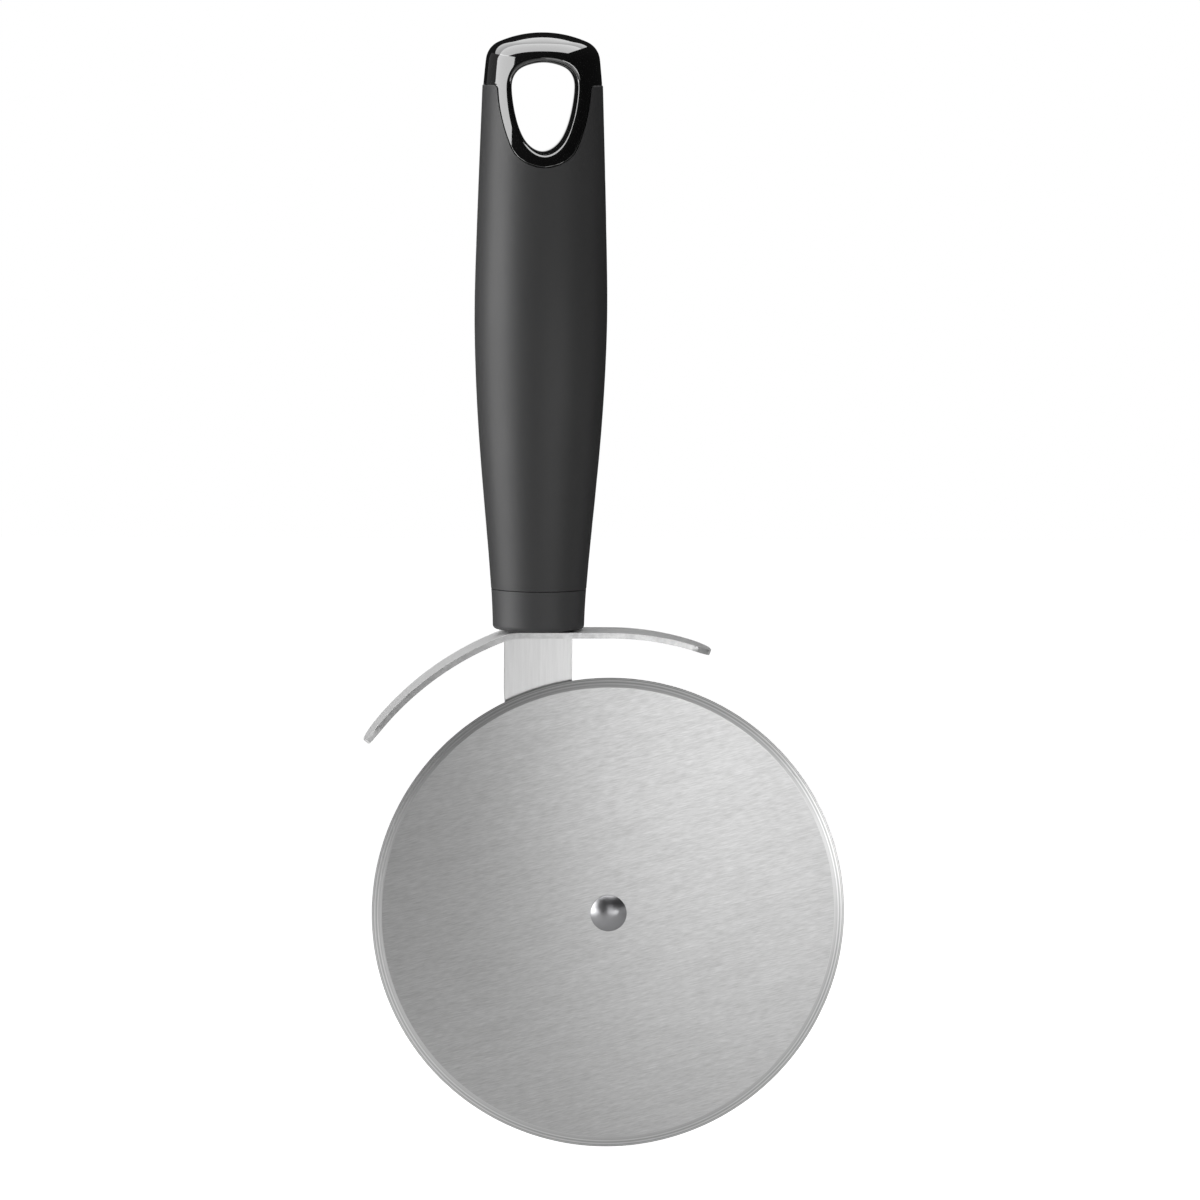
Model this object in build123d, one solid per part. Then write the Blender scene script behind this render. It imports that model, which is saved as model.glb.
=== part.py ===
from build123d import *
from math import asin, atan2, cos, degrees, pi, sin, sqrt
import os

# Pizza cutter wheel: a bevelled steel disc turns on a rivet at the end of a flat steel arm.
# The arm's tang passes through a curved finger guard into an oval handle, which has a rigid
# core, a soft sleeve, a collar at its lower end and a glossy cap with a hanging hole.
# Lengths are in millimetres and angles in degrees. The handle's axis is Z and the front is -Y.
# The origin is the top of the hanging hole, in the middle of its depth, where a hook bears.

# Cutting wheel
wheel_diameter = 101.6
wheel_thickness = 1.0
bevel_width = 2.1
edge_land = 0.12  # flat left at the cutting edge

# Axle rivet, in one piece: domed head, shoulder for the wheel, tenon and peened tail
rivet_head_diameter = 7.8
rivet_head_height = 1.7
rivet_head_land = 0.3  # straight rim below the dome
shoulder_diameter = 5.0
tenon_diameter = 4.0
tail_diameter = 7.0
tail_height = 1.0
running_clearance = 0.05  # all round, between the wheel's bore and the shoulder
rivet_hole_clearance = 0.02  # all round, between the arm's hole and the tenon
end_play = 0.1  # on each face of the wheel

# Spacer washer, between the wheel and the arm
washer_diameter = 12.0
washer_thickness = 0.6

# Arm, a flat blank with a dog-leg that brings its lower end behind the wheel's centre
arm_width = 14.5
arm_thickness = 2.0
arm_straight = 15.0  # from the guard to the corner of the dog-leg
arm_bend_radius = 24.0  # of its centre line
axle_offset = 15.4  # sideways from the handle's axis to the axle
tang_width = 9.0
tang_length = 52.0  # above the guard
tang_corner = 2.0
tang_hole_diameter = 4.0
tang_hole_pitch = 22.0
tang_hole_margin = 12.0  # from the tang's end to its upper hole

# Finger guard, a bent strap that stands round the wheel's rim
guard_thickness = 1.2
guard_depth = 12.4
guard_right_gap = 8.8  # from the rim to the underside, right of the axle and above it
guard_left_gap = 12.4  # from the rim to the underside, on the left
guard_right_angle = 69.2  # of the right tip, about the axle, from +X towards +Z
guard_left_angle = 144.8
guard_bend_radius = 9.0  # of the soft corner between the flat and the left wing
guard_end_radius = 4.5
slot_clearance = 0.1

# Handle: heights are above the collar's lower end, and widths are across its front
handle_length = 127.2
belly_height = 70.4
handle_end_width = 19.6
belly_width = 28.3
handle_top_width = 25.6
oval_share = 0.84  # the handle's depth as a share of its width, all along
swell_power = 0.78  # how early the handle swells between its end and the belly
taper_power = 1.2  # how late it tapers between the belly and the cap
row_pitch = 12.0  # rough step between the points of the handle's outline

# Sleeve, collar and core
sleeve_wall = 2.0
sleeve_edge_radius = 0.35  # at the cap
collar_height = 8.65
collar_edge_radius = 0.9  # at its lower end
collar_seam_radius = 0.1  # of both pieces at the seam above the collar
collar_recess = 0.03  # how far the collar lies below the sleeve's surface
boss_height = 0.3  # the core stands out below the collar and bears on the guard
cap_recess = 0.17  # how far the cap lies below the sleeve's surface
fit_gap = 0.05  # between pieces of the handle
core_drop = 6.0  # from the cap's seam down to the core's two horns beside the ring

# End cap with its hanging ring
cap_height = 11.05
cap_corner_width = 23.7  # where the sides would meet the crown, before rounding
crown_radius = 23.3
cap_corner_radius = 4.6
cap_middle_width = 24.55  # halfway up from the seam to that corner
ring_width = 20.0
ring_length = 17.3  # below the cap's seam
ring_corner_radius = 0.9
hole_width = 13.2
hole_height = 18.6
hole_crown = 6.45  # from the top of the hole to the top of the cap
rim_radius = 1.1  # of the hole's edges, front and back

overrun = 1.0  # how far any cut runs past what it cuts

# Half of the hole's outline, as shares of half its width and of its height from the top
hole_shares = [(0, 0), (0.46, 0.025), (0.82, 0.092), (0.985, 0.2), (1, 0.32), (0.91, 0.545),
               (0.71, 0.78), (0.43, 0.93), (0, 1)]
# Half of the ring's outline, as shares of half its width and of its length from its lower end
ring_shares = [(0, 0), (0.34, 0.045), (0.636, 0.173), (0.745, 0.295), (0.882, 0.538),
               (0.967, 0.783), (1, 1)]

# Levels along Z, and places across the wheel, front to back
cap_top = hole_crown
seam_level = cap_top - cap_height
collar_bottom = cap_top - handle_length
guard_top = collar_bottom - boss_height
guard_bottom = guard_top - guard_thickness
wheel_radius = wheel_diameter / 2
axle_level = guard_bottom - guard_right_gap - wheel_radius
seam_height = seam_level - collar_bottom
arm_front = -arm_thickness / 2
washer_front = arm_front - washer_thickness
wheel_back = washer_front - end_play
wheel_front = wheel_back - wheel_thickness
head_back = wheel_front - end_play

os.makedirs("parts", exist_ok=True)


def save(shape, name):
    """Write one piece under its node's name."""
    export_step(shape, "parts/" + name + ".step")


def about_axle(points):
    """Solid turned about the axle from its (radius, Y) points."""
    face = make_face(Polyline(points, close=True))
    return Pos(axle_offset, 0, axle_level) * revolve(face, axis=Axis.Y)


def across(face, depth):
    """Prism of a face drawn in X and Z, centred on the handle's middle plane."""
    return extrude(Plane.XZ * face, amount=depth / 2, both=True)


def swell(height):
    """Width of the handle at a height above the collar's lower end."""
    if height < belly_height:
        share = height / belly_height
        rise = sin(pi / 2 * share ** swell_power) ** 2
        return handle_end_width + (belly_width - handle_end_width) * rise
    share = (height - belly_height) / (seam_height - belly_height)
    return belly_width - (belly_width - handle_top_width) * share ** taper_power


def side_points(low, high, inset):
    """Points along the handle's right side between two heights, inset from its surface."""
    rows = max(2, round((high - low) / row_pitch))
    heights = [low + (high - low) * row / rows for row in range(rows + 1)]
    return [(swell(height) / 2 - inset, collar_bottom + height) for height in heights]


def side(low, high, inset):
    """Outline of the handle's right side between two heights, inset from its surface."""
    return Spline(side_points(low, high, inset))


def oval(face):
    """Body turned about the handle's axis and squeezed to its oval."""
    return scale(revolve(Plane.XZ * face, axis=Axis.Z), by=(1, oval_share, 1))


def sleeve_face(low, high, inset, low_radius, high_radius):
    """Half section of a sleeve of the handle, with its outer corners rounded."""
    outer = side(low, high, inset)
    inner = side(low, high, sleeve_wall)
    face = make_face([outer, inner, Line(outer @ 0, inner @ 0), Line(outer @ 1, inner @ 1)])
    corners = face.vertices().sort_by_distance(outer @ 0)
    face = fillet(corners[0], low_radius)
    corners = face.vertices().sort_by_distance(outer @ 1)
    return fillet(corners[0], high_radius)


def mirrored(points):
    """Points of a half outline and their mirror images, from one end round to the other."""
    return [(-x, z) for x, z in reversed(points)] + points[1:]


def cutting_wheel():
    """Flat disc with a bevel ground on both faces and a bore that runs on the shoulder."""
    bore_radius = shoulder_diameter / 2 + running_clearance
    bevel_start = wheel_radius - bevel_width
    middle = (wheel_front + wheel_back) / 2
    return about_axle([
        (bore_radius, wheel_back),
        (bevel_start, wheel_back),
        (wheel_radius, middle + edge_land / 2),
        (wheel_radius, middle - edge_land / 2),
        (bevel_start, wheel_front),
        (bore_radius, wheel_front),
    ])


def dome(radius, level, height):
    """Half of a round dome's outline, from its rim to the axis; height is signed."""
    ball = (radius ** 2 + height ** 2) / (2 * height)
    half_turn = asin(radius / ball) / 2
    middle = (ball * sin(half_turn), level + height - ball * (1 - cos(half_turn)))
    return ThreePointArc((radius, level), middle, (0, level + height))


def axle_rivet():
    """Rivet with a domed head in front, turned in one piece and peened behind the arm."""
    head_rim = head_back - rivet_head_land
    tail_front = arm_thickness / 2
    head_radius = rivet_head_diameter / 2
    stem = Polyline(
        (head_radius, head_rim),
        (head_radius, head_back),
        (shoulder_diameter / 2, head_back),
        (shoulder_diameter / 2, arm_front),
        (tenon_diameter / 2, arm_front),
        (tenon_diameter / 2, tail_front),
        (tail_diameter / 2, tail_front),
    )
    head = dome(head_radius, head_rim, rivet_head_land - rivet_head_height)
    tail = dome(tail_diameter / 2, tail_front, tail_height)
    axis_line = Line(tail @ 1, head @ 1)
    face = make_face([stem, head, tail, axis_line])
    return Pos(axle_offset, 0, axle_level) * revolve(face, axis=Axis.Y)


def spacer_washer():
    """Flat washer that keeps the wheel off the arm."""
    bore_radius = shoulder_diameter / 2 + running_clearance
    return about_axle([
        (bore_radius, arm_front),
        (washer_diameter / 2, arm_front),
        (washer_diameter / 2, washer_front),
        (bore_radius, washer_front),
    ])


def tang_holes(clearance):
    """Two discs across the tang, smaller than its holes by a clearance all round."""
    disc = Circle(tang_hole_diameter / 2 - clearance)
    top = guard_top + tang_length - tang_hole_margin
    return Pos(0, top) * disc + Pos(0, top - tang_hole_pitch) * disc


def guard_face():
    """Side view of the guard: right wing, flat, soft corner and left wing."""
    right_radius = wheel_radius + guard_right_gap + guard_thickness / 2
    left_radius = wheel_radius + guard_left_gap + guard_thickness / 2
    axle = (axle_offset, axle_level)
    flat_level = axle_level + right_radius
    corner_rise = right_radius - guard_bend_radius
    corner_reach = sqrt((left_radius - guard_bend_radius) ** 2 - corner_rise ** 2)
    corner = (axle_offset - corner_reach, axle_level + corner_rise)
    corner_angle = degrees(atan2(corner_rise, -corner_reach))
    upright = 90
    line = [
        CenterArc(axle, right_radius, guard_right_angle, upright - guard_right_angle),
        Line((axle_offset, flat_level), (corner[0], flat_level)),
        CenterArc(corner, guard_bend_radius, upright, corner_angle - upright),
        CenterArc(axle, left_radius, corner_angle, guard_left_angle - corner_angle),
    ]
    return trace(line, guard_thickness)


def wheel_arm():
    """Flat arm: tang, shoulders under the guard, dog-leg and a round end at the axle."""
    corner = guard_bottom - arm_straight
    line = FilletPolyline(
        (0, guard_bottom), (0, corner), (axle_offset, axle_level), radius=arm_bend_radius
    )
    wing_radius = wheel_radius + guard_left_gap
    past_wing = Circle(wing_radius + arm_width) - Circle(wing_radius)
    blade = trace(line, arm_width) - guard_face() - Pos(axle_offset, axle_level) * past_wing
    end = Pos(axle_offset, axle_level) * Circle(arm_width / 2)
    hole = Pos(axle_offset, axle_level) * Circle(tenon_diameter / 2 + rivet_hole_clearance)
    tang_height = guard_top + tang_length - guard_bottom
    tang = Pos(0, guard_bottom) * Rectangle(tang_width, tang_height, align=(Align.CENTER, Align.MIN))
    tang = fillet(tang.vertices().group_by(Axis.Y)[-1], tang_corner)
    return across(blade + end + tang - hole - tang_holes(0), arm_thickness)


def finger_guard():
    """Bent strap with rounded ends and a slot for the tang."""
    strap = across(guard_face(), guard_depth)
    edges = strap.edges().filter_by(GeomType.LINE)
    corners = edges.filter_by(lambda edge: abs(edge.length - guard_thickness) < slot_clearance)
    strap = fillet(corners, guard_end_radius)
    slot = Box(tang_width + 2 * slot_clearance, arm_thickness + 2 * slot_clearance,
               guard_thickness + 2 * overrun)
    return strap - Pos(0, 0, guard_bottom + guard_thickness / 2) * slot


def window(clearance):
    """Prism of the cap's outline through the whole handle, larger by a clearance."""
    return across(cap_outline(clearance), belly_width)


def handle_core():
    """Rigid core, moulded round the tang, with a boss below and a notch for the ring above."""
    outer = side(0, seam_height - core_drop, sleeve_wall + fit_gap)
    low, high = outer @ 0, outer @ 1
    rest = Polyline(high, (0, high.Y), (0, guard_top), (low.X, guard_top), low)
    pocket = Pos(0, guard_top - overrun) * Rectangle(
        tang_width + 2 * fit_gap, tang_length + overrun + fit_gap,
        align=(Align.CENTER, Align.MIN))
    pocket = across(pocket - tang_holes(fit_gap), arm_thickness + 2 * fit_gap)
    return oval(make_face([outer, rest])) - pocket - window(fit_gap)


def handle_collar():
    """Ring round the core's lower end, rounded below and parted from the sleeve by a seam."""
    return oval(sleeve_face(0, collar_height - fit_gap, collar_recess, collar_edge_radius,
                            collar_seam_radius))


def grip_sleeve():
    """Soft sleeve over the core, with a window in front and behind for the cap's ring."""
    body = oval(sleeve_face(collar_height + fit_gap, seam_height - fit_gap, 0,
                            collar_seam_radius, sleeve_edge_radius))
    return body - window(fit_gap)


def cap_outline(clearance):
    """Front outline of the cap: all above the seam, and the ring's outline below it."""
    half_width = ring_width / 2 + clearance
    length = ring_length + clearance
    points = [
        (share * half_width, seam_level - length * (1 - up_share))
        for share, up_share in ring_shares
    ]
    ring = make_face([Spline(mirrored(points)), Line(points[-1], (-half_width, seam_level))])
    above = Pos(0, seam_level) * Rectangle(
        handle_top_width + 2 * overrun, cap_height + overrun, align=(Align.CENTER, Align.MIN))
    face = ring + above
    corners = face.vertices().group_by(Axis.Y)[0].sort_by(Axis.X)[1:-1]
    return fillet(corners, ring_corner_radius)


def cap_skin():
    """Outer form of the cap, and of the handle as far below the seam as the ring reaches."""
    corner = (cap_corner_width / 2,
              cap_top - crown_radius + sqrt(crown_radius ** 2 - cap_corner_width ** 2 / 4))
    middle = (cap_middle_width / 2, (seam_level + corner[1]) / 2)
    ring_height = seam_height - ring_length - overrun
    flank = Spline(side_points(ring_height, seam_height, cap_recess) + [middle, corner])
    low = flank @ 0
    face = make_face([
        flank,
        RadiusArc(corner, (-corner[0], corner[1]), -crown_radius).trim(0, 1 / 2),
        Polyline((0, cap_top), (0, low.Y), low),
    ])
    shoulder = face.vertices().sort_by_distance(corner)[0]
    return oval(fillet(shoulder, cap_corner_radius))


def hanging_hole():
    """Egg-shaped hole, widest in its upper half, through the whole depth of the cap."""
    points = [
        (across_share * hole_width / 2, -down_share * hole_height)
        for across_share, down_share in hole_shares
    ]
    outline = Spline(mirrored(points)[:-1], periodic=True)
    return across(make_face(outline), belly_width)


def end_cap():
    """Cap whose hanging ring drops into the notch in the core and the sleeve."""
    cap = (cap_skin() & window(0)) - hanging_hole()
    loops = cap.edges().filter_by(lambda edge: edge.is_closed).sort_by(Axis.Y)
    return fillet([loops[0], loops[-1]], rim_radius)


pieces = {
    "cutting_wheel": cutting_wheel,
    "axle_rivet": axle_rivet,
    "spacer_washer": spacer_washer,
    "wheel_arm": wheel_arm,
    "finger_guard": finger_guard,
    "handle_core": handle_core,
    "handle_collar": handle_collar,
    "grip_sleeve": grip_sleeve,
    "end_cap": end_cap,
}
for name, make in pieces.items():
    save(make(), name)
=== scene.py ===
from math import asin, atan2, cos, pi, radians, sin, sqrt

import bmesh
import bpy
import numpy as np
from mathutils import Matrix, Vector


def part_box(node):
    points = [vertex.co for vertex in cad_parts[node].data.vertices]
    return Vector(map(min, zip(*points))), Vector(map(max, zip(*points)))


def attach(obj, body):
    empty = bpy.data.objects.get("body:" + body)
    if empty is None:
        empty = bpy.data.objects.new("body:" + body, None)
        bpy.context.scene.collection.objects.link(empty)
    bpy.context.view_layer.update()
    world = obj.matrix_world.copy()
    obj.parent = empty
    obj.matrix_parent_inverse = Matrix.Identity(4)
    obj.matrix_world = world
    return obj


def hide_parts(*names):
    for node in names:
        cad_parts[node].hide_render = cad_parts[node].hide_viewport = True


bl_info = {
    "name": "Pizza Cutter Wheel",
    "version": (1, 0, 0),
    "blender": (4, 5, 0),
    "location": "3D View > Sidebar > Cutter",
    "description": "Dresses a wheel cutter with a soft grip, piece by piece",
    "category": "Object",
}

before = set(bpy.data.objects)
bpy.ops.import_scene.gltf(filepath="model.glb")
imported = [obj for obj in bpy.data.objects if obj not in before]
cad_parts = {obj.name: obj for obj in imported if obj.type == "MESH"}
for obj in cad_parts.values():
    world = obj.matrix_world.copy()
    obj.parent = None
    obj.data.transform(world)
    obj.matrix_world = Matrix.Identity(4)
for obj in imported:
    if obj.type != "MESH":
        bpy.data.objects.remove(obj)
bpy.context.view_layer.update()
MM = 0.001

WHEEL_LOW, WHEEL_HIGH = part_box("cutting_wheel")
AXLE = Vector(((WHEEL_LOW.x + WHEEL_HIGH.x) / 2, 0, (WHEEL_LOW.z + WHEEL_HIGH.z) / 2))
RIVET_LOW, RIVET_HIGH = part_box("axle_rivet")
ARM_LOW, ARM_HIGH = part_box("wheel_arm")
SLEEVE_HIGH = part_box("grip_sleeve")[1]
CAP_LOW, CAP_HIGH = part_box("end_cap")

MERGE = 0.001 * MM  # distance at which doubled vertices are merged
NOISE_LOW, NOISE_HIGH = 0.3, 0.7  # nearly all values of a noise lie between these
WHEEL_STEPS, RIVET_STEPS = 288, 96  # faces all round the disc and the rivet


class CutterWheelSettings(bpy.types.PropertyGroup):
    """Sizes and finish of the cutting wheel and its axle"""

    bevel_width: bpy.props.FloatProperty(
        name="Bevel Width", description="Width of the ground bevel at the wheel's rim",
        default=2.1 * MM, unit="LENGTH")
    bevel_edge: bpy.props.FloatProperty(
        name="Bevel Edge", description="Half width of the worn line where the bevel begins",
        default=0.09 * MM, unit="LENGTH")
    edge_land: bpy.props.FloatProperty(
        name="Edge Land", description="Flat left at the cutting edge",
        default=0.12 * MM, unit="LENGTH")
    head_cover: bpy.props.FloatProperty(
        name="Head Cover", description="How far the rivet's head covers the wheel beyond its bore",
        default=1.35 * MM, unit="LENGTH")
    dome_height: bpy.props.FloatProperty(
        name="Dome Height", description="Height of the rivet's domed head above its rim",
        default=1.4 * MM, unit="LENGTH")
    head_land: bpy.props.FloatProperty(
        name="Head Land", description="Straight rim of the rivet's head",
        default=0.3 * MM, unit="LENGTH")
    washer_reach: bpy.props.FloatProperty(
        name="Washer Reach", description="How far the washer stands out past the shoulder",
        default=3.5 * MM, unit="LENGTH")
    tenon_radius: bpy.props.FloatProperty(
        name="Tenon Radius", description="Radius of the rivet where it passes the arm",
        default=2.0 * MM, unit="LENGTH")
    tail_radius: bpy.props.FloatProperty(
        name="Tail Radius", description="Radius of the peened tail behind the arm",
        default=3.5 * MM, unit="LENGTH")
    steel: bpy.props.FloatVectorProperty(
        name="Blade Steel", description="Colour of the brushed disc",
        subtype="COLOR", size=4, min=0, max=1, default=(0.56, 0.56, 0.56, 1))
    bevel_steel: bpy.props.FloatVectorProperty(
        name="Bevel Steel", description="Colour of the ground bevel",
        subtype="COLOR", size=4, min=0, max=1, default=(0.68, 0.68, 0.68, 1))
    rivet_steel: bpy.props.FloatVectorProperty(
        name="Rivet Steel", description="Colour of the polished rivet",
        subtype="COLOR", size=4, min=0, max=1, default=(0.36, 0.36, 0.37, 1))
    grain_angle: bpy.props.FloatProperty(
        name="Grain Angle", description="Slope of the disc's brushed grain",
        default=radians(14), subtype="ANGLE")


class CutterFrameSettings(bpy.types.PropertyGroup):
    """Finish of the arm and the finger guard"""

    arm_steel: bpy.props.FloatVectorProperty(
        name="Arm Steel", description="Colour of the satin arm",
        subtype="COLOR", size=4, min=0, max=1, default=(0.6, 0.6, 0.6, 1))
    guard_steel: bpy.props.FloatVectorProperty(
        name="Guard Steel", description="Colour of the bent guard",
        subtype="COLOR", size=4, min=0, max=1, default=(0.8, 0.8, 0.8, 1))
    sheared_steel: bpy.props.FloatVectorProperty(
        name="Sheared Steel", description="Colour of the guard's cut edges",
        subtype="COLOR", size=4, min=0, max=1, default=(0.58, 0.58, 0.58, 1))
    edge_radius: bpy.props.FloatProperty(
        name="Edge Radius", description="Rounding of the steel's long edges",
        default=0.15 * MM, unit="LENGTH")


class CutterGripSettings(bpy.types.PropertyGroup):
    """Finish of the handle's pieces"""

    rubber: bpy.props.FloatVectorProperty(
        name="Grip Rubber", description="Colour of the soft grip",
        subtype="COLOR", size=4, min=0, max=1, default=(0.027, 0.027, 0.0275, 1))
    collar: bpy.props.FloatVectorProperty(
        name="Collar Plastic", description="Colour of the collar and the core",
        subtype="COLOR", size=4, min=0, max=1, default=(0.028, 0.028, 0.029, 1))
    cap: bpy.props.FloatVectorProperty(
        name="Cap Gloss", description="Colour of the glossy cap",
        subtype="COLOR", size=4, min=0, max=1, default=(0.004, 0.004, 0.004, 1))
    washer: bpy.props.FloatVectorProperty(
        name="Washer Nylon", description="Colour of the spacer washer",
        subtype="COLOR", size=4, min=0, max=1, default=(0.6, 0.58, 0.53, 1))


class CutterCapSettings(bpy.types.PropertyGroup):
    """Sizes of the glossy cap and its hanging ring"""

    oval: bpy.props.FloatProperty(
        name="Oval", description="Depth of the handle as a share of its width",
        default=0.84, subtype="FACTOR", min=0.5, max=1)
    crown_radius: bpy.props.FloatProperty(
        name="Crown Radius", description="Radius of the cap's top",
        default=23.3 * MM, unit="LENGTH")
    corner_radius: bpy.props.FloatProperty(
        name="Corner Radius", description="Rounding between the cap's top and sides",
        default=4.6 * MM, unit="LENGTH")
    corner_width: bpy.props.FloatProperty(
        name="Corner Width", description="Width where the sides would meet the top",
        default=23.7 * MM, unit="LENGTH")
    middle_width: bpy.props.FloatProperty(
        name="Middle Width", description="Width halfway from the seam to that corner",
        default=24.55 * MM, unit="LENGTH")
    seam_width: bpy.props.FloatProperty(
        name="Seam Width", description="Width at the seam above the sleeve",
        default=25.26 * MM, unit="LENGTH")
    throat_width: bpy.props.FloatProperty(
        name="Throat Width", description="Width of the sleeve, a hole's height below its top edge",
        default=26.32 * MM, unit="LENGTH")
    throat_swell: bpy.props.FloatProperty(
        name="Throat Swell", description="How far the sides swell between the seam and the throat",
        default=0.06 * MM, unit="LENGTH")
    height: bpy.props.FloatProperty(
        name="Height", description="Height of the cap above its seam",
        default=11.05 * MM, unit="LENGTH")
    ring_width: bpy.props.FloatProperty(
        name="Ring Width", description="Width of the ring at the seam",
        default=20 * MM, unit="LENGTH")
    ring_corner: bpy.props.FloatProperty(
        name="Ring Corner", description="Rounding where the ring meets the seam",
        default=0.9 * MM, unit="LENGTH")
    hole_width: bpy.props.FloatProperty(
        name="Hole Width", description="Width of the hanging hole",
        default=13.2 * MM, unit="LENGTH")
    hole_height: bpy.props.FloatProperty(
        name="Hole Height", description="Height of the hanging hole",
        default=18.6 * MM, unit="LENGTH")
    wall_flare: bpy.props.FloatProperty(
        name="Wall Flare", description="How far the hole's wall opens from its middle to its rim",
        default=0.35 * MM, unit="LENGTH")
    rim_radius: bpy.props.FloatProperty(
        name="Rim Radius", description="Rounding of the hole's edges",
        default=1.3 * MM, unit="LENGTH")
    edge_radius: bpy.props.FloatProperty(
        name="Edge Radius", description="Rounding of the ring's outer edge",
        default=0.28 * MM, unit="LENGTH")
    spokes: bpy.props.IntProperty(
        name="Spokes", description="Steps round the hole", default=240, min=48)
    spoke_rise: bpy.props.FloatProperty(
        name="Spoke Rise", description="Height above the seam of the point that the spokes leave",
        default=1.6 * MM, unit="LENGTH")


class CutterStageSettings(bpy.types.PropertyGroup):
    """Floor, light and camera"""

    floor: bpy.props.FloatVectorProperty(
        name="Floor", description="Colour of the pale floor",
        subtype="COLOR", size=4, min=0, max=1, default=(0.5, 0.5, 0.5, 1))
    floor_reach: bpy.props.FloatProperty(
        name="Floor Reach", description="How far the floor runs out from the middle",
        default=1.4, unit="LENGTH")
    world_strength: bpy.props.FloatProperty(
        name="World Strength", description="Strength of the light from the dim room",
        default=0.09, min=0)
    mirrored_strength: bpy.props.FloatProperty(
        name="Mirrored Strength", description="Strength of the dim room in mirror reflections",
        default=0.008, min=0)
    lamp_level: bpy.props.FloatProperty(
        name="Lamp Level", description="Strength of all the soft lamps together",
        default=1.0, min=0)


def settings(name):
    """Settings group of this name on the scene."""
    return getattr(bpy.context.scene, name)


class Finish:
    """A node material under construction, with short ways to add and join nodes."""

    def __init__(self, name):
        self.material = bpy.data.materials.new(name)
        self.material.use_nodes = True
        self.tree = self.material.node_tree
        self.shader = self.tree.nodes["Principled BSDF"]

    def node(self, kind, **values):
        """Add a node; keys that start with an underscore are its input sockets by name."""
        made = self.tree.nodes.new(kind)
        for key, value in values.items():
            if key.startswith("_"):
                made.inputs[key[1:].replace("_", " ")].default_value = value
            else:
                setattr(made, key, value)
        return made

    def join(self, source, target):
        """Link an output socket to an input socket."""
        self.tree.links.new(source, target)

    def mapped(self, location=(0, 0, 0), rotation=(0, 0, 0), scale=(1, 1, 1)):
        """Object coordinates, centred, turned and stretched for a pattern."""
        place = self.node("ShaderNodeTexCoord")
        turn = self.node("ShaderNodeMapping", vector_type="TEXTURE")
        turn.inputs["Location"].default_value = location
        turn.inputs["Rotation"].default_value = rotation
        self.join(place.outputs["Object"], turn.inputs["Vector"])
        stretch = self.node("ShaderNodeMapping", vector_type="POINT")
        stretch.inputs["Scale"].default_value = scale
        self.join(turn.outputs["Vector"], stretch.inputs["Vector"])
        return stretch.outputs["Vector"]

    def noise(self, vector, scale, detail=2.0, roughness=0.5):
        """Noise over a mapped vector."""
        made = self.node("ShaderNodeTexNoise", _Scale=scale, _Detail=detail, _Roughness=roughness)
        self.join(vector, made.inputs["Vector"])
        return made.outputs["Fac"]

    def math(self, operation, first, second):
        """Sum, product and so on of two sockets or values."""
        made = self.node("ShaderNodeMath", operation=operation)
        for socket, value in zip(made.inputs, (first, second)):
            if isinstance(value, (int, float)):
                socket.default_value = value
            else:
                self.join(value, socket)
        return made.outputs["Value"]

    def spread(self, source, low, high, from_low=0.0, from_high=1.0):
        """Value moved to a new range."""
        made = self.node("ShaderNodeMapRange", clamp=True)
        self.join(source, made.inputs["Value"])
        for key, value in (("From Min", from_low), ("From Max", from_high),
                           ("To Min", low), ("To Max", high)):
            made.inputs[key].default_value = value
        return made.outputs["Result"]

    def tint(self, source, dark, light):
        """Colour that runs between two with a value."""
        made = self.node("ShaderNodeMix", data_type="RGBA")
        self.join(source, made.inputs["Factor"])
        made.inputs[6].default_value = dark  # 6, 7 and 2 are the node's colour sockets
        made.inputs[7].default_value = light
        return made.outputs[2]

    def bump(self, height, strength, distance):
        """Raise the surface by a height socket."""
        made = self.node("ShaderNodeBump", _Strength=strength, _Distance=distance)
        self.join(height, made.inputs["Height"])
        self.join(made.outputs["Normal"], self.shader.inputs["Normal"])

    def set(self, **values):
        """Set sockets of the shader itself."""
        for key, value in values.items():
            self.shader.inputs[key.replace("_", " ")].default_value = value


def shade(colour, factor):
    """Colour times a factor, opaque."""
    return tuple(part * factor for part in colour[:3]) + (1,)


def steel_grain(finish, colour, mapping, contrast, across, height=0.05):
    """Brushed grain: fine streaks over wide faint ones, in colour, gloss, height and shine."""
    fine = finish.noise(finish.mapped(**mapping), 1.0, 3.0, 0.6)
    wide_map = dict(mapping)
    wide_map["scale"] = tuple(part / 5 for part in mapping["scale"])
    wide = finish.noise(finish.mapped(**wide_map), 1.0, 2.0, 0.5)
    both = finish.math("ADD", finish.math("MULTIPLY", fine, 0.75),
                       finish.math("MULTIPLY", wide, 0.25))
    tone = finish.spread(both, 0, 1, NOISE_LOW, NOISE_HIGH)
    finish.join(finish.tint(tone, shade(colour, 1 - contrast), shade(colour, 1 + contrast)),
                finish.shader.inputs["Base Color"])
    finish.join(finish.spread(fine, 0.34, 0.3, NOISE_LOW, NOISE_HIGH),
                finish.shader.inputs["Roughness"])
    finish.set(Metallic=1.0, Anisotropic=0.6)
    finish.bump(both, height, 0.006 * MM)
    turned = finish.node("ShaderNodeVectorTransform", vector_type="VECTOR",
                         convert_from="OBJECT", convert_to="WORLD")
    turned.inputs[0].default_value = across
    finish.join(turned.outputs[0], finish.shader.inputs["Tangent"])


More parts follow.
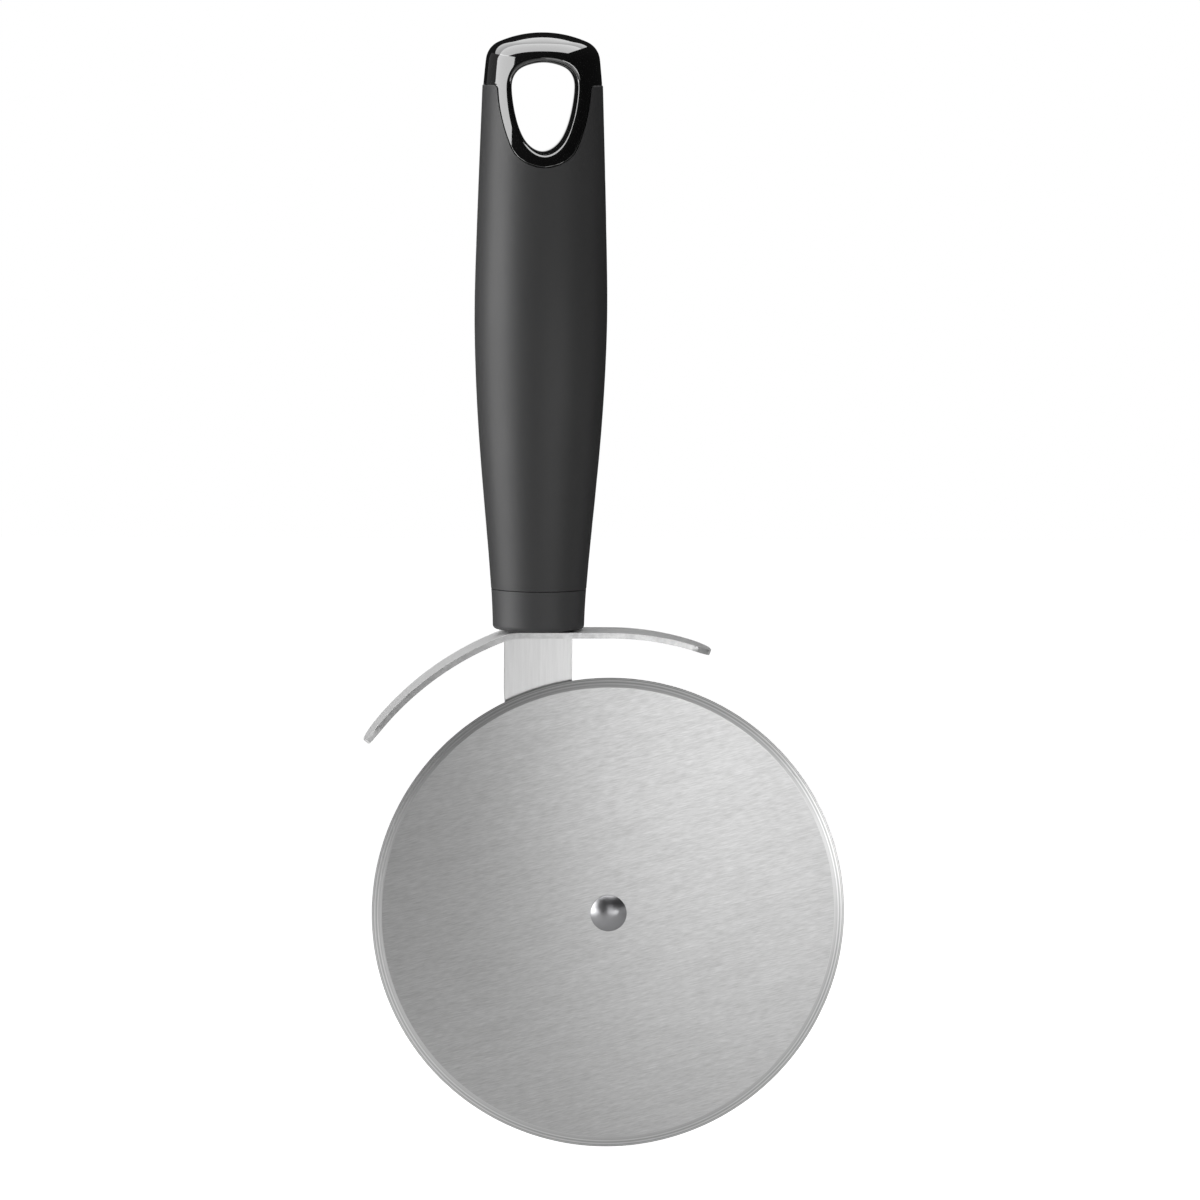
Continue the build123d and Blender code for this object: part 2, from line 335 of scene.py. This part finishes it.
def moulded(finish, colour, pores_scale, roughness):
    """Dull moulded skin: fine pores over broad, faint rubbed patches."""
    pores = finish.noise(finish.mapped(), pores_scale, 2.0)
    rubbed = finish.noise(finish.mapped(scale=(1, 1, 0.4)), 80, 3.0)
    finish.join(finish.tint(rubbed, shade(colour, 0.9), shade(colour, 1.1)),
                finish.shader.inputs["Base Color"])
    both = finish.math("ADD", finish.math("MULTIPLY", pores, 0.4),
                       finish.math("MULTIPLY", rubbed, 0.6))
    finish.join(finish.spread(both, roughness + 0.06, roughness - 0.06, NOISE_LOW, NOISE_HIGH),
                finish.shader.inputs["Roughness"])
    finish.bump(pores, 0.25, 0.03 * MM)


def add_finish(node, finish):
    """Give a CAD node's object a finish."""
    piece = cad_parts[node]
    piece.data.materials.clear()
    piece.data.materials.append(finish.material)


def new_piece(name, bm, node, body, finishes, sharp=None):
    """Make an object of a bmesh, finished and smooth, that stands for a CAD node on its body."""
    mesh = bpy.data.meshes.new(name)
    bm.to_mesh(mesh)
    bm.free()
    for finish in finishes:
        mesh.materials.append(finish.material)
    mesh.shade_smooth()
    if sharp is not None:
        mesh.set_sharp_from_angle(angle=sharp)
    piece = bpy.data.objects.new(name, mesh)
    bpy.context.scene.collection.objects.link(piece)
    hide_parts(node)
    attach(piece, body)
    return piece


def profile(bm, points):
    """Chain of vertices at (distance from the axle, Y) and the edges between them."""
    chain = [bm.verts.new((AXLE.x + out, along, AXLE.z)) for out, along in points]
    for first, second in zip(chain, chain[1:]):
        bm.edges.new((first, second))
    return chain


def turn_about_axle(bm, steps):
    """Spin everything in a bmesh all round the axle, and close and orient it."""
    bmesh.ops.spin(bm, geom=bm.verts[:] + bm.edges[:], cent=(AXLE.x, 0, AXLE.z), axis=(0, 1, 0),
                   angle=2 * pi, steps=steps, use_merge=True)
    bmesh.ops.remove_doubles(bm, verts=bm.verts, dist=MERGE)
    bmesh.ops.recalc_face_normals(bm, faces=bm.faces)


def dome(bm, rim, height, steps):
    """Bend a domed profile from a rim vertex to the axle; height is signed along Y."""
    reach = rim.co.x - AXLE.x
    ball = (reach ** 2 + height ** 2) / (2 * abs(height))
    centre = (AXLE.x, rim.co.y + height - ball * height / abs(height), AXLE.z)
    bmesh.ops.spin(bm, geom=[rim], cent=centre, axis=(0, 0, 1 if height > 0 else -1),
                   angle=asin(reach / ball), steps=steps)


def rounded_copy(node, radius, flatten=True):
    """Merged copy of a CAD node's mesh with its sharp edges rounded."""
    bm = bmesh.new()
    bm.from_mesh(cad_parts[node].data)
    bmesh.ops.remove_doubles(bm, verts=bm.verts, dist=MERGE)
    if flatten:
        bmesh.ops.dissolve_limit(bm, angle_limit=radians(0.4), verts=bm.verts, edges=bm.edges)
    sharp = [edge for edge in bm.edges if edge.is_manifold and edge.calc_face_angle() > radians(40)]
    bmesh.ops.bevel(bm, geom=sharp, offset=radius, offset_type="OFFSET", segments=2, profile=0.5,
                    affect="EDGES", material=-1, clamp_overlap=True)
    return bm


def even_normals(piece):
    """Keep the flat faces of a rounded piece flat in its shading."""
    weighted = piece.modifiers.new("even_normals", "WEIGHTED_NORMAL")
    weighted.keep_sharp = True


def ground_bevel(colour):
    """Steel ground in fine rings about the axle."""
    finish = Finish("ground_bevel_steel")
    place = finish.mapped(location=AXLE, scale=(1, 0, 1))
    length = finish.node("ShaderNodeVectorMath", operation="LENGTH")
    finish.join(place, length.inputs[0])
    rings = finish.node("ShaderNodeTexNoise", noise_dimensions="1D", _Scale=3200, _Detail=3.0)
    finish.join(length.outputs["Value"], rings.inputs["W"])
    tone = finish.spread(rings.outputs["Fac"], 0, 1, NOISE_LOW, NOISE_HIGH)
    finish.join(finish.tint(tone, shade(colour, 0.7), shade(colour, 1.2)),
                finish.shader.inputs["Base Color"])
    finish.join(finish.spread(tone, 0.42, 0.32), finish.shader.inputs["Roughness"])
    finish.set(Metallic=1.0)
    finish.bump(rings.outputs["Fac"], 0.3, 0.02 * MM)
    return finish


class CUTTER_OT_wheel(bpy.types.Operator):
    """Dress the cutting wheel in brushed steel with a ground bevel"""

    bl_idname = "cutter.wheel"
    bl_label = "Cutting Wheel"

    def execute(self, context):
        made = settings("cutter_wheel")
        radius = (WHEEL_HIGH.x - WHEEL_LOW.x) / 2
        bore = (RIVET_HIGH.x - RIVET_LOW.x) / 2 - made.head_cover
        front, back = WHEEL_LOW.y, WHEEL_HIGH.y
        middle, land, start = (front + back) / 2, made.edge_land / 2, radius - made.bevel_width
        rise = made.bevel_edge * (middle - land - front) / made.bevel_width
        bm = bmesh.new()
        chain = profile(bm, [
            (bore, back), (start - made.bevel_edge, back), (start + made.bevel_edge, back - rise),
            (radius, middle + land), (radius, middle - land),
            (start + made.bevel_edge, front + rise), (start - made.bevel_edge, front),
            (bore, front)])
        bm.edges.new((chain[-1], chain[0]))
        turn_about_axle(bm, WHEEL_STEPS)
        for face in bm.faces:  # the flat faces are brushed, the bevels ground
            face.material_index = 0 if abs(face.normal.y) > 0.9999 else 1
        blade = Finish("brushed_blade_steel")
        steel_grain(blade, made.steel, contrast=0.17,
                    across=(-sin(made.grain_angle), 0, cos(made.grain_angle)),
                    mapping={"location": AXLE, "rotation": (0, -made.grain_angle, 0),
                             "scale": (420, 420, 4200)})
        new_piece("wheel_disc", bm, "cutting_wheel", "wheel",
                  [blade, ground_bevel(made.bevel_steel)], sharp=radians(4))
        return {"FINISHED"}


class CUTTER_OT_axle(bpy.types.Operator):
    """Dress the rivet and the washer behind the wheel"""

    bl_idname = "cutter.axle"
    bl_label = "Rivet and Washer"

    def execute(self, context):
        made = settings("cutter_wheel")
        finish = Finish("polished_rivet_steel")
        finish.set(Metallic=1.0, Base_Color=made.rivet_steel)
        wear = finish.noise(finish.mapped(location=AXLE), 900, 3.0)
        finish.join(finish.spread(wear, 0.3, 0.34, 0.35, 0.7), finish.shader.inputs["Roughness"])
        head = (RIVET_HIGH.x - RIVET_LOW.x) / 2
        rim = RIVET_LOW.y + made.dome_height
        washer_low, washer_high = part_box("spacer_washer")
        shoulder = (washer_high.x - washer_low.x) / 2 - made.washer_reach
        tail_front = ARM_HIGH.y
        bm = bmesh.new()
        chain = profile(bm, [
            (head, rim), (head, rim + made.head_land), (shoulder, rim + made.head_land),
            (shoulder, ARM_LOW.y), (made.tenon_radius, ARM_LOW.y), (made.tenon_radius, tail_front),
            (made.tail_radius, tail_front)])
        dome(bm, chain[0], RIVET_LOW.y - rim, steps=14)
        dome(bm, chain[-1], RIVET_HIGH.y - tail_front, steps=8)
        turn_about_axle(bm, RIVET_STEPS)
        new_piece("rivet", bm, "axle_rivet", "handle", [finish],
                  sharp=radians(30))
        nylon = Finish("washer_nylon")
        moulded(nylon, settings("cutter_grip").washer, pores_scale=3000, roughness=0.42)
        add_finish("spacer_washer", nylon)
        return {"FINISHED"}


class CUTTER_OT_arm(bpy.types.Operator):
    """Dress the flat arm in satin steel"""

    bl_idname = "cutter.arm"
    bl_label = "Arm"

    def execute(self, context):
        made = settings("cutter_frame")
        finish = Finish("satin_steel")
        steel_grain(finish, made.arm_steel, {"location": AXLE, "scale": (2500, 2500, 120)},
                    contrast=0.06, across=(1, 0, 0))
        bm = rounded_copy("wheel_arm", made.edge_radius)
        even_normals(new_piece("arm", bm, "wheel_arm", "handle", [finish]))
        return {"FINISHED"}


class CUTTER_OT_guard(bpy.types.Operator):
    """Dress the bent finger guard"""

    bl_idname = "cutter.guard"
    bl_label = "Finger Guard"

    def execute(self, context):
        made = settings("cutter_frame")
        finish = Finish("guard_steel")
        steel_grain(finish, made.guard_steel, {"location": AXLE, "scale": (90, 1600, 90)},
                    contrast=0.08, across=(0, 1, 0), height=0.01)
        finish.set(Metallic=0.62, Anisotropic=0.2)
        sheared = Finish("sheared_steel")
        steel_grain(sheared, made.sheared_steel, {"location": AXLE, "scale": (900, 90, 900)},
                    contrast=0.15, across=(0, 0, 1), height=0.02)
        bm = rounded_copy("finger_guard", made.edge_radius, flatten=False)
        bm.normal_update()
        for face in bm.faces:  # the strap's cut edges face the front and the back
            face.material_index = 1 if abs(face.normal.y) > 0.5 else 0
        even_normals(new_piece("guard", bm, "finger_guard", "handle",
                               [finish, sheared]))
        return {"FINISHED"}


class CUTTER_OT_grip(bpy.types.Operator):
    """Dress the sleeve, the collar and the core"""

    bl_idname = "cutter.grip"
    bl_label = "Grip"

    def execute(self, context):
        made = settings("cutter_grip")
        rubber = Finish("grip_rubber")
        moulded(rubber, made.rubber, pores_scale=2600, roughness=0.45)
        rubber.set(Specular_IOR_Level=0.44)
        add_finish("grip_sleeve", rubber)
        collar = Finish("collar_plastic")
        moulded(collar, made.collar, pores_scale=3800, roughness=0.46)
        add_finish("handle_collar", collar)
        core = Finish("core_plastic")
        moulded(core, made.collar, pores_scale=3000, roughness=0.55)
        add_finish("handle_core", core)
        return {"FINISHED"}


# Halves of the hole's and the ring's outlines, as shares of half their width and of their height,
# and the points on each span between two of them
HOLE_SHARES = [(0, 0), (0.46, 0.025), (0.82, 0.092), (0.985, 0.2), (1, 0.32), (0.91, 0.545),
               (0.71, 0.78), (0.43, 0.93), (0, 1)]
RING_SHARES = [(0, 0), (0.34, 0.045), (0.636, 0.173), (0.745, 0.295), (0.882, 0.538),
               (0.967, 0.783), (1, 1)]
SPAN_STEPS = 24
# Points on the ring's corner, the sides, the shoulders and the crown
CORNER_STEPS, FLANK_STEPS, SHOULDER_STEPS, CROWN_STEPS = 8, 12, 24, 32
# Rows of the mesh on the hole's wall, its rim, the face and the outer edge
WALL_ROWS, RIM_ROWS, FACE_ROWS, EDGE_ROWS = 8, 11, 30, 5


def smooth_curve(points, closed, steps):
    """Points along a natural or a closed cubic spline through the given ones."""
    knots = np.array(points, float)
    ends = np.vstack([knots, knots[:1]]) if closed else knots
    gaps = np.linalg.norm(np.diff(ends, axis=0), axis=1)
    count = len(knots)
    system, right = np.zeros((count, count)), np.zeros((count, 2))
    for row in range(count):
        if not closed and row in (0, count - 1):
            system[row, row] = 1
            continue
        before, after = gaps[row - 1], gaps[row]
        low, high = knots[row - 1], ends[row + 1]
        system[row, (row - 1) % count] += before
        system[row, row] += 2 * (before + after)
        system[row, (row + 1) % count] += after
        right[row] = 6 * ((high - knots[row]) / after - (knots[row] - low) / before)
    bend = np.linalg.solve(system, right)
    bend = np.vstack([bend, bend[:1]]) if closed else bend
    curve = []
    for row, gap in enumerate(gaps):
        for along in np.linspace(0, 1, steps, endpoint=False):
            back = 1 - along
            curve.append(back * ends[row] + along * ends[row + 1] + gap ** 2 / 6 * (
                (back ** 3 - back) * bend[row] + (along ** 3 - along) * bend[row + 1]))
    return np.array(curve if closed else curve + [ends[-1]])


def mirrored(points):
    """Half outline and its mirror image as one open run, from one side to the other."""
    return [(-x, z) for x, z in reversed(points)] + points[1:]


def from_centre(curve, centre, angles):
    """Points where an outline crosses the spokes that leave a centre at the given angles."""
    reach = curve - centre
    turn = np.unwrap(np.arctan2(reach[:, 1], reach[:, 0]))
    if turn[-1] < turn[0]:
        turn, reach = turn[::-1], reach[::-1]
    spoke = turn[0] + (angles - turn[0]) % (2 * pi)
    turn = np.append(turn, turn[0] + 2 * pi)
    reach = np.vstack([reach, reach[:1]])
    return centre + np.stack([np.interp(spoke, turn, reach[:, 0]),
                              np.interp(spoke, turn, reach[:, 1])], axis=1)


class CapForm:
    """Skin of the cap and the outlines of its hole and ring, in X and Z."""

    def __init__(self, made):
        self.made = made
        top = CAP_HIGH.z
        self.seam = top - made.height
        self.bottom = CAP_LOW.z
        self.crown_level = top - made.crown_radius
        half = made.corner_width / 2
        corner = Vector((half, self.crown_level + sqrt(made.crown_radius ** 2 - half ** 2)))
        middle = Vector((made.middle_width / 2, (self.seam + corner.y) / 2))
        self.flank = np.polyfit([self.seam, middle.y, corner.y],
                                [made.seam_width / 2, middle.x, corner.x], 2)
        along = (corner - middle).normalized()
        inward = Vector((-along.y, along.x))
        inner = made.crown_radius - made.corner_radius
        offset = middle + inward * made.corner_radius - Vector((0, self.crown_level))
        rise = -offset.dot(along) + sqrt(
            offset.dot(along) ** 2 - offset.length_squared + inner ** 2)
        self.round = middle + along * rise + inward * made.corner_radius
        self.round_low = (middle + along * rise).y
        self.round_high = (self.crown_level + made.crown_radius
                           * (self.round.y - self.crown_level) / inner)
        low = SLEEVE_HIGH.z - made.hole_height
        high_half, low_half = made.seam_width / 2, made.throat_width / 2
        middle_half = (high_half + low_half) / 2 + made.throat_swell
        self.lower = np.polyfit([self.seam, (self.seam + low) / 2, low],
                                [high_half, middle_half, low_half], 2)

    def radius(self, level):
        """Half width of the skin at a level."""
        if level >= self.round_high:
            return sqrt(max(0, self.made.crown_radius ** 2 - (level - self.crown_level) ** 2))
        if level >= self.round_low:
            rise = level - self.round.y
            return self.round.x + sqrt(max(0, self.made.corner_radius ** 2 - rise ** 2))
        return float(np.polyval(self.flank if level > self.seam else self.lower, level))

    def depth(self, x, level):
        """How far the skin stands in front of the middle plane."""
        return self.made.oval * sqrt(max(0, self.radius(level) ** 2 - x ** 2))

    def depths(self, points):
        """Depth of the skin at each of the points."""
        return np.array([self.depth(x, z) for x, z in points])

    def hole(self):
        """Outline of the hole."""
        half, height = self.made.hole_width / 2, self.made.hole_height
        run = mirrored([(across * half, -down * height) for across, down in HOLE_SHARES])
        return smooth_curve(run[:-1], True, SPAN_STEPS)

    def outer(self):
        """Outline of the ring, the seam, the sides and the crown."""
        made = self.made
        half, height = made.ring_width / 2, self.seam - self.bottom
        ring = smooth_curve([(across * half, self.bottom + up * height)
                             for across, up in RING_SHARES], False, SPAN_STEPS)
        ring = [point for point in ring if point[1] < self.seam - made.ring_corner]
        centre = (ring[-1][0] + made.ring_corner, ring[-1][1])
        corner = [(centre[0] - made.ring_corner * cos(turn),
                   centre[1] + made.ring_corner * sin(turn))
                  for turn in np.linspace(0.1, pi / 2, CORNER_STEPS)]
        levels = self.seam + (self.round_low - self.seam) * np.linspace(0, 1, FLANK_STEPS)
        flank = [(self.radius(level), level) for level in levels]
        start = atan2(self.round_low - self.round.y, self.radius(self.round_low) - self.round.x)
        end = atan2(self.round_high - self.round.y, self.radius(self.round_high) - self.round.x)
        shoulder = [(self.round.x + made.corner_radius * cos(turn),
                     self.round.y + made.corner_radius * sin(turn))
                    for turn in np.linspace(start, end, SHOULDER_STEPS)[1:]]
        reach = self.radius(self.round_high)
        crown = [(made.crown_radius * sin(turn), self.crown_level + made.crown_radius * cos(turn))
                 for turn in np.linspace(asin(reach / made.crown_radius), 0, CROWN_STEPS)[1:]]
        run = [tuple(point) for point in ring] + corner + flank + shoulder + crown
        return np.array(mirrored(run)[:-1])


def cap_mesh(made):
    """Cap drawn out ring by ring, from the wall of the hole over its rim and face to the edge."""
    form = CapForm(made)
    centre = np.array((0.0, form.seam + made.spoke_rise))
    edge = form.seam - centre[1]
    extra = [atan2(edge, form.radius(form.seam)), atan2(edge, made.ring_width / 2)]
    angles = np.linspace(0, 2 * pi, made.spokes, endpoint=False)
    angles = np.unique(np.concatenate([angles, [turn % (2 * pi) for turn in extra],
                                       [(pi - turn) % (2 * pi) for turn in extra]]))
    hole = from_centre(form.hole(), centre, angles)
    outer = from_centre(form.outer(), centre, angles)
    along = np.roll(hole, -1, axis=0) - np.roll(hole, 1, axis=0)
    away = np.stack([along[:, 1], -along[:, 0]], axis=1)
    away /= np.linalg.norm(away, axis=1)[:, None]
    rim, flare = made.rim_radius, made.wall_flare
    wall = form.depths(hole + away * flare) - rim
    rows = [(hole + away * flare * share ** 2, wall * share)
            for share in np.linspace(0, 0.92, WALL_ROWS)]
    tilt = 2 * flare / float(np.mean(wall))
    face_in = hole + away * (flare + rim * cos(tilt))
    for turn in np.linspace(tilt, pi / 2, RIM_ROWS):
        points = hole + away * (flare + rim * (cos(tilt) - cos(turn)))
        rows.append((points, form.depths(points) - rim * (1 - sin(turn))))
    outward = (outer - centre) / np.linalg.norm(outer - centre, axis=1)[:, None]
    inset = outer - outward * made.edge_radius
    for share in np.sin(np.linspace(0, pi / 2, FACE_ROWS))[1:]:
        points = face_in + (inset - face_in) * share
        rows.append((points, form.depths(points)))
    closed = form.depths(outer) < 1 * MM  # the skin meets its mirror image here, with no edge
    for turn in np.linspace(0, pi / 2, EDGE_ROWS)[1:]:
        points = inset + (outer - inset) * sin(turn)
        skin = form.depths(points)
        drop = np.minimum(made.edge_radius * (1 - cos(turn)), skin)
        rows.append((points, np.where(closed, skin, skin - drop)))
    rows.append((outer, np.zeros(len(outer))))

    bm = bmesh.new()
    ring = [bm.verts.new((x, 0, z)) for x, z in hole]
    edges = [bm.edges.new((ring[spot - 1], ring[spot])) for spot in range(len(ring))]
    for flat, deep in rows[1:]:
        grown = bmesh.ops.extrude_edge_only(bm, edges=edges)["geom"]
        edges = [part for part in grown if isinstance(part, bmesh.types.BMEdge)]
        fresh = {part for part in grown if isinstance(part, bmesh.types.BMVert)}
        after = []
        for vert, (x, z), y in zip(ring, flat, deep):
            twin = next(edge.other_vert(vert) for edge in vert.link_edges
                        if edge.other_vert(vert) in fresh)
            twin.co = (x, -y, z)
            after.append(twin)
        ring = after
    bmesh.ops.mirror(bm, geom=bm.verts[:] + bm.edges[:] + bm.faces[:], axis="Y", merge_dist=0)
    bmesh.ops.remove_doubles(bm, verts=bm.verts, dist=MERGE)
    bmesh.ops.recalc_face_normals(bm, faces=bm.faces)
    return bm


class CUTTER_OT_cap(bpy.types.Operator):
    """Shape the glossy cap and its hanging ring"""

    bl_idname = "cutter.cap"
    bl_label = "End Cap"

    def execute(self, context):
        gloss = Finish("cap_gloss_plastic")
        gloss.set(Base_Color=settings("cutter_grip").cap, IOR=1.7, Coat_Weight=1.0, Coat_IOR=1.6,
                  Coat_Roughness=0.02)
        wear = gloss.noise(gloss.mapped(), 350, 3.0)
        gloss.join(gloss.spread(wear, 0.03, 0.09, 0.35, 0.7), gloss.shader.inputs["Roughness"])
        bm = cap_mesh(settings("cutter_cap"))
        new_piece("cap", bm, "end_cap", "handle", [gloss], sharp=radians(50))
        return {"FINISHED"}


# Soft lamps: name, place, target, width and height in metres, brightness
LAMPS = (
    ("left_soft", (-0.48, -0.15, -0.03), (0, -0.15, -0.03), 0.42, 0.5, 4.2),
    ("left_back", (-0.48, 0.28, -0.03), (0, 0.28, -0.03), 0.44, 0.5, 0.12),
    ("left_low", (-0.42, -0.32, -0.165), (0, 0, -0.12), 0.3, 0.13, 2.8),
    ("top_soft", (-0.13, -0.05, 0.2), (-0.13, -0.05, 0), 0.66, 0.22, 4.0),
    ("back_soft", (-0.13, 0.14, 0.2), (-0.13, 0.14, 0), 0.66, 0.16, 2.1),
    ("right_dim", (0.5, -0.2, -0.14), (0, -0.2, -0.14), 0.52, 0.18, 0.6),
    ("right_strip", (0.33, -0.52, -0.17), (0.06, 0, -0.17), 0.16, 0.12, 4.6),
    ("front_fill", (0.14, -0.7, -0.165), (0.01, 0, -0.14), 0.32, 0.13, 0.95),
    ("wheel_glow", (0.062, -0.25, -0.165), (0.062, 0, -0.165), 0.09, 0.12, 1.3),
    ("neck_glow", (0.045, -0.25, -0.085), (0.045, 0, -0.085), 0.1, 0.05, 0.7),
)


def lamp(name, place, target, width, height, level):
    """Soft lamp at a place, facing a target; level is its brightness as the world's is."""
    data = bpy.data.lights.new(name, "AREA")
    data.shape = "RECTANGLE"
    data.size = width
    data.size_y = height
    data.energy = level * pi * width * height
    made = bpy.data.objects.new(name, data)
    made.location = place
    made.rotation_euler = (Vector(target) - Vector(place)).to_track_quat("-Z", "Y").to_euler()
    made.visible_camera = False
    bpy.context.scene.collection.objects.link(made)


def photo_camera():
    """Camera that sees the cutter as the photograph does."""
    azimuth, elevation, roll = radians(-3.44), radians(5.83), radians(0.51)
    target = Vector((13.15, 0, -114.58)) * MM
    distance, sensor = 1500, 36  # both in mm
    photo_width, pixels_per_mm = 1200, 4.6733  # scale of the photo at the target
    back = Vector((sin(azimuth) * cos(elevation), -cos(azimuth) * cos(elevation), sin(elevation)))
    right = Vector((0, 0, 1)).cross(back).normalized()
    up = back.cross(right)
    turned_right = right * cos(roll) + up * sin(roll)
    turned_up = up * cos(roll) - right * sin(roll)
    data = bpy.data.cameras.new("photo_camera")
    data.sensor_width = sensor
    data.lens = sensor * pixels_per_mm * distance / photo_width
    data.clip_start = 0.05
    data.clip_end = 50
    made = bpy.data.objects.new("photo_camera", data)
    turn = Matrix((turned_right, turned_up, back)).transposed().to_4x4()
    made.matrix_world = Matrix.Translation(target + back * (distance * MM)) @ turn
    bpy.context.scene.collection.objects.link(made)
    bpy.context.scene.camera = made


# Y of the directions at which the white backdrop begins to show in gloss and is full: 7.3 and
# 4.8 degrees from straight behind the cutter
BACKDROP_START, BACKDROP_FULL = 0.992, 0.9965


def studio_world(strength, mirrored_strength):
    """Dim room round the cutter; its white backdrop shows to the camera, in glass and in gloss."""
    world = bpy.data.worlds.new("studio")
    world.use_nodes = True
    tree = world.node_tree
    path = tree.nodes.new("ShaderNodeLightPath")
    seen = tree.nodes.new("ShaderNodeMath")
    seen.operation = "MAXIMUM"
    tree.links.new(path.outputs["Is Camera Ray"], seen.inputs[0])
    tree.links.new(path.outputs["Is Transmission Ray"], seen.inputs[1])
    place = tree.nodes.new("ShaderNodeTexCoord")
    parts = tree.nodes.new("ShaderNodeSeparateXYZ")
    tree.links.new(place.outputs["Generated"], parts.inputs[0])
    behind = tree.nodes.new("ShaderNodeMapRange")
    for key, value in (("From Min", BACKDROP_START), ("From Max", BACKDROP_FULL),
                       ("To Min", mirrored_strength), ("To Max", 1.0)):
        behind.inputs[key].default_value = value
    tree.links.new(parts.outputs["Y"], behind.inputs["Value"])
    room = tree.nodes.new("ShaderNodeMix")
    tree.links.new(path.outputs["Is Glossy Ray"], room.inputs[0])
    room.inputs[2].default_value = strength
    tree.links.new(behind.outputs["Result"], room.inputs[3])
    level = tree.nodes.new("ShaderNodeMix")
    tree.links.new(seen.outputs[0], level.inputs[0])
    tree.links.new(room.outputs[0], level.inputs[2])
    level.inputs[3].default_value = 1.0
    light = tree.nodes["Background"]
    light.inputs["Color"].default_value = (1, 1, 1, 1)
    tree.links.new(level.outputs[0], light.inputs["Strength"])
    return world


def white_to_camera(finish):
    """Lift the lit floor to white where the camera sees it, most far off, and leave its shadow."""
    path = finish.node("ShaderNodeLightPath")
    away = finish.node("ShaderNodeVectorMath", operation="LENGTH")
    finish.join(finish.mapped(), away.inputs[0])
    lift = finish.spread(away.outputs["Value"], low=0.8, high=1.0, from_low=0.3, from_high=0.9)
    finish.set(Emission_Color=(1, 1, 1, 1))
    finish.join(finish.math("MULTIPLY", path.outputs["Is Camera Ray"], lift),
                finish.shader.inputs["Emission Strength"])


class CUTTER_OT_stage(bpy.types.Operator):
    """Set the floor, the soft studio light and the camera"""

    bl_idname = "cutter.stage"
    bl_label = "Stage"

    def execute(self, context):
        made = settings("cutter_stage")
        bm = bmesh.new()
        bmesh.ops.create_grid(bm, x_segments=1, y_segments=1, size=made.floor_reach)
        bmesh.ops.translate(bm, verts=bm.verts, vec=(0, 0, WHEEL_LOW.z))
        mesh = bpy.data.meshes.new("floor")
        bm.to_mesh(mesh)
        bm.free()
        floor = bpy.data.objects.new("floor", mesh)
        context.scene.collection.objects.link(floor)
        finish = Finish("floor_white")
        finish.set(Base_Color=made.floor, Roughness=0.8)
        mesh.materials.append(finish.material)
        white_to_camera(finish)

        context.scene.world = studio_world(made.world_strength, made.mirrored_strength)
        for name, place, target, width, height, level in LAMPS:
            lamp(name, place, target, width, height, level * made.lamp_level)
        photo_camera()
        context.scene.view_settings.view_transform = "Standard"
        return {"FINISHED"}


class CUTTER_PT_panel(bpy.types.Panel):
    """Buttons that dress the cutter piece by piece"""

    bl_label = "Pizza Cutter Wheel"
    bl_space_type = "VIEW_3D"
    bl_region_type = "UI"
    bl_category = "Cutter"

    def draw(self, context):
        for kind in OPERATORS:
            self.layout.operator(kind.bl_idname)
        for name, kind in GROUPS.items():
            box = self.layout.box()
            for key in kind.__annotations__:
                box.prop(getattr(context.scene, name), key)


OPERATORS = (
    CUTTER_OT_wheel, CUTTER_OT_axle, CUTTER_OT_arm, CUTTER_OT_guard, CUTTER_OT_grip,
    CUTTER_OT_cap, CUTTER_OT_stage,
)
GROUPS = {
    "cutter_wheel": CutterWheelSettings,
    "cutter_frame": CutterFrameSettings,
    "cutter_grip": CutterGripSettings,
    "cutter_cap": CutterCapSettings,
    "cutter_stage": CutterStageSettings,
}


def register():
    """Register every class and put the groups of settings on the scene."""
    for kind in (*GROUPS.values(), *OPERATORS, CUTTER_PT_panel):
        bpy.utils.register_class(kind)
    for name, kind in GROUPS.items():
        setattr(bpy.types.Scene, name, bpy.props.PointerProperty(type=kind))


def unregister():
    """Take the groups of settings and every class away again."""
    for name in GROUPS:
        delattr(bpy.types.Scene, name)
    for kind in (CUTTER_PT_panel, *OPERATORS, *GROUPS.values()):
        bpy.utils.unregister_class(kind)


def main():
    """Register the add-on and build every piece."""
    register()
    for kind in OPERATORS:
        group, name = kind.bl_idname.split(".")
        getattr(getattr(bpy.ops, group), name)()


if __name__ == "__main__":
    main()
